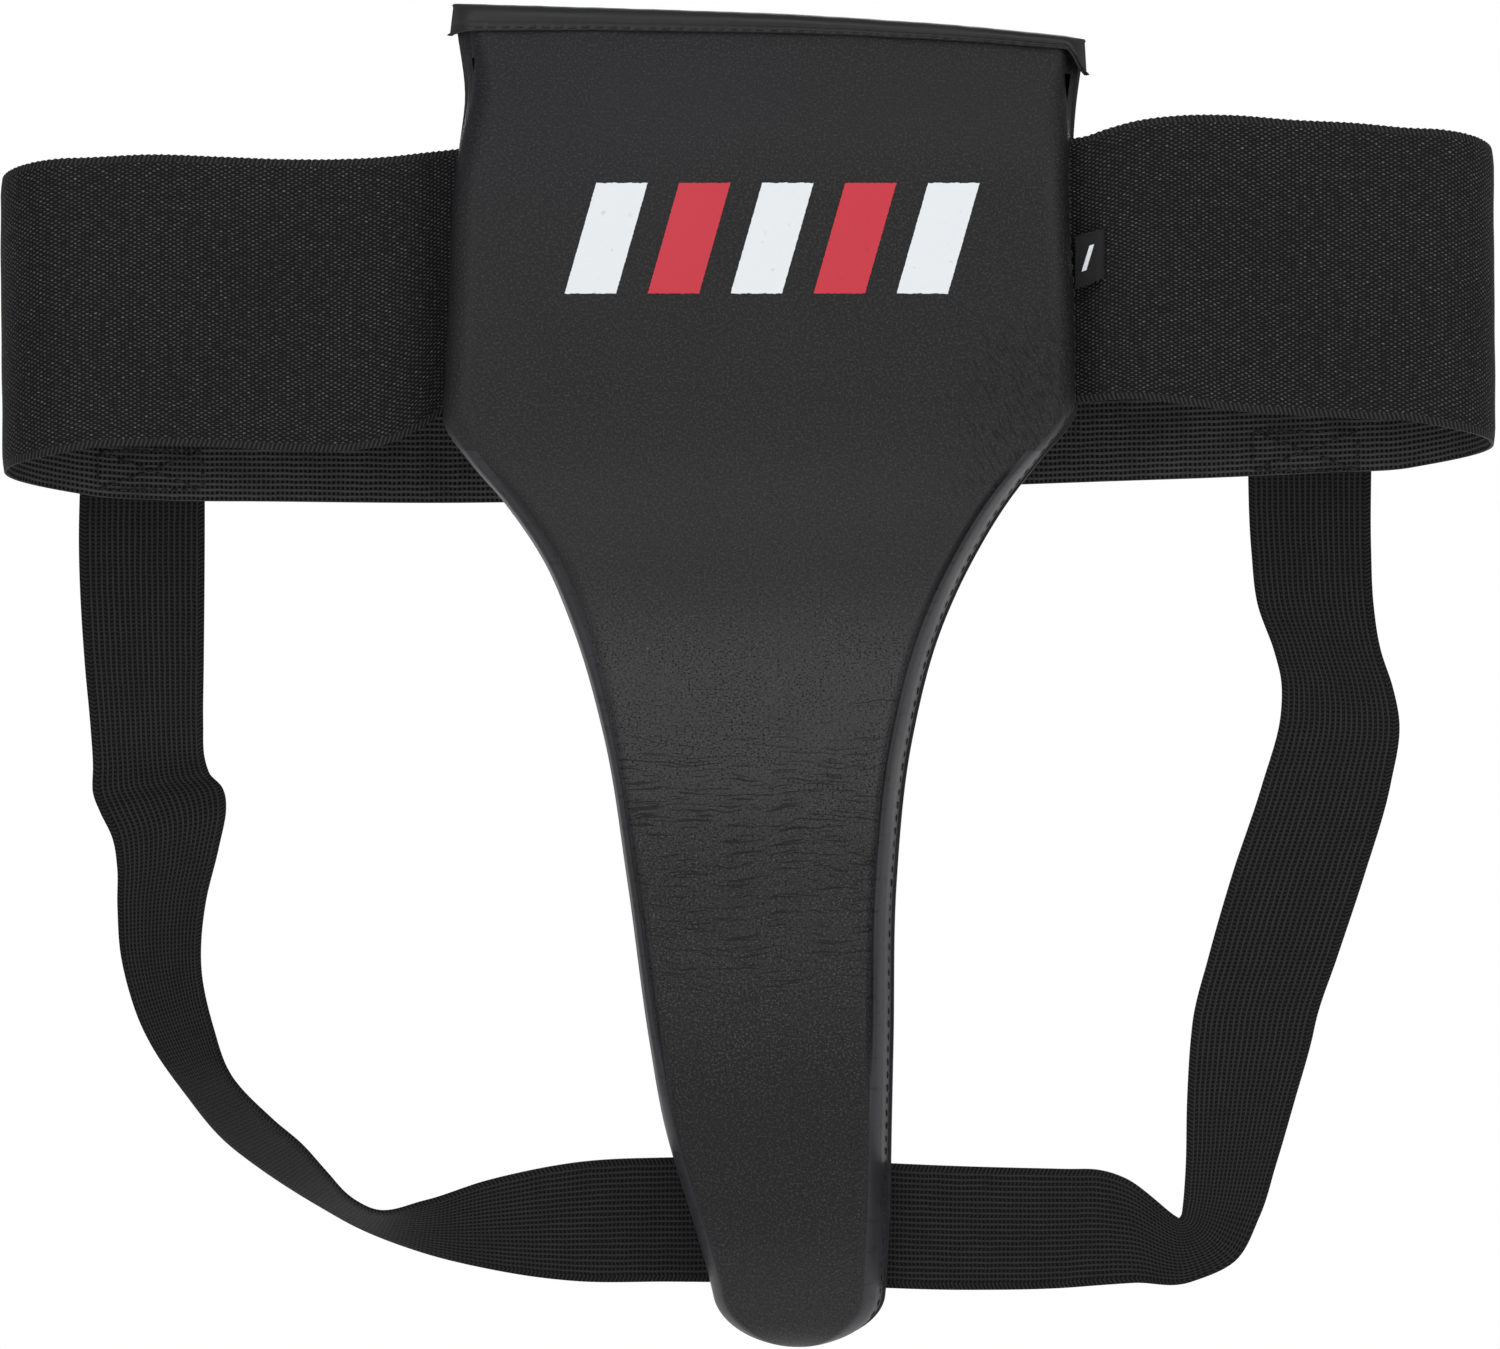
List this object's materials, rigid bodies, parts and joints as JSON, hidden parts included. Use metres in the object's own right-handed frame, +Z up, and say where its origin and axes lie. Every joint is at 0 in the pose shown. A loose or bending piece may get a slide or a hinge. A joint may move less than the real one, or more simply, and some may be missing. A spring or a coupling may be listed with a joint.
{
  "type": "groin protector",
  "caption": "Padded front guard with a long tapering tail, a wide elastic waistband loop and elastic leg straps sewn to the waistband and the tail.",
  "frame": {"origin": "centre of the flattened waistband loop, midway between its front and rear runs", "axes": "+Z up as worn, towards the top of the waistband loop; -Y towards the front of the pad; +Y towards the wearer's back; +X along the width of the waistband"},
  "size_m": [0.3814, 0.0616, 0.3402],
  "materials": {
    "cover_vinyl": "fine-grained synthetic leather, satin",
    "lining_vinyl": "smooth matt vinyl cloth",
    "binding_vinyl": "smooth satin vinyl",
    "waist_elastic": "knitted elastic webbing with a fine dotted face",
    "strap_elastic": "ribbed elastic webbing with a fine grid",
    "thread": "matt sewing thread",
    "impact_foam": "closed-cell foam",
    "comfort_foam": "open-cell foam",
    "ink_white": "matt screen-printed ink",
    "ink_red": "matt screen-printed ink",
    "woven_tag": "woven satin ribbon"
  },
  "bodies": {
    "root": {"front_cover_upper": "cover_vinyl", "impact_foam_upper": "impact_foam", "comfort_foam_upper": "comfort_foam", "back_lining_upper": "lining_vinyl", "top_binding": "binding_vinyl", "binding_thread": "thread", "side_seam_thread_upper": "thread", "emblem_white_bars": "ink_white", "emblem_red_bars": "ink_red", "waistband_front_left": "waist_elastic", "waistband_fold_left": "waist_elastic", "waistband_rear_left": "waist_elastic", "waistband_front_right": "waist_elastic", "waistband_fold_right": "waist_elastic", "waistband_rear_right": "waist_elastic", "band_thread_left": "thread", "band_thread_right": "thread", "left_leg_strap_upper": "strap_elastic", "right_leg_strap_upper": "strap_elastic", "left_strap_box_stitch": "thread", "right_strap_box_stitch": "thread"},
    "rear_band": {"waistband_rear_center": "waist_elastic"},
    "tail": {"front_cover_tail": "cover_vinyl", "impact_foam_tail": "impact_foam", "comfort_foam_tail": "comfort_foam", "back_lining_tail": "lining_vinyl", "side_seam_thread_tail": "thread", "left_leg_strap_lower": "strap_elastic", "right_leg_strap_lower": "strap_elastic", "tail_strap_box_stitch": "thread"},
    "tag": {"size_tag": "woven_tag"}
  },
  "joints": [
    {"name": "tail_fold", "type": "hinge", "parent": "root", "child": "tail", "pos_m": [0, -0.0142, -0.105], "axis": [1, 0, 0], "range_deg": [0, 75], "stiffness_Nm_per_rad": 0.5},
    {"name": "waist_open", "type": "slide", "parent": "root", "child": "rear_band", "axis": [0, 1, 0], "range_m": [0, 0.08], "stiffness_N_per_m": 150},
    {"name": "tag_flap", "type": "hinge", "parent": "root", "child": "tag", "pos_m": [0.0829, -0.022, 0.0115], "axis": [0, 0, -1], "range_deg": [0, 60], "stiffness_Nm_per_rad": 0.0005}
  ]
}
